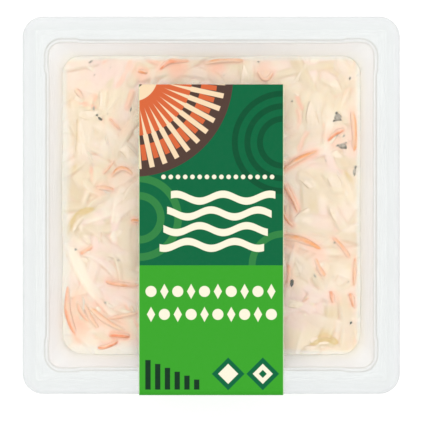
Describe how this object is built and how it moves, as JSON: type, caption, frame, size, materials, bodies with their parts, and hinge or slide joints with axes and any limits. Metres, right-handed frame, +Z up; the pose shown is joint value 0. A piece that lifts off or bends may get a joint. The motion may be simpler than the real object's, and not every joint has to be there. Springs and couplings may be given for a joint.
{
  "type": "sealed tub of coleslaw",
  "caption": "Square milky plastic tub with a wide flange, filled with coleslaw under a clear film, with a paper label folded over the front.",
  "frame": {"origin": "middle of the tub's footprint, at the height it stands on", "axes": "+Z up; -Y is the front, where the label folds down; +X is to the right seen from the front"},
  "size_m": [0.12, 0.1206, 0.0505],
  "materials": {
    "tub_plastic": "milky, see-through in part, smooth and softly glossy",
    "slaw": "wet cream dressing over shredded cabbage and carrot",
    "lid_film": "clear thin film",
    "label_paper": "satin coated paper in two greens with cream shapes"
  },
  "bodies": {
    "root": {"tub": "tub_plastic", "coleslaw": "slaw", "film": "lid_film", "label": "label_paper"}
  },
  "joints": []
}
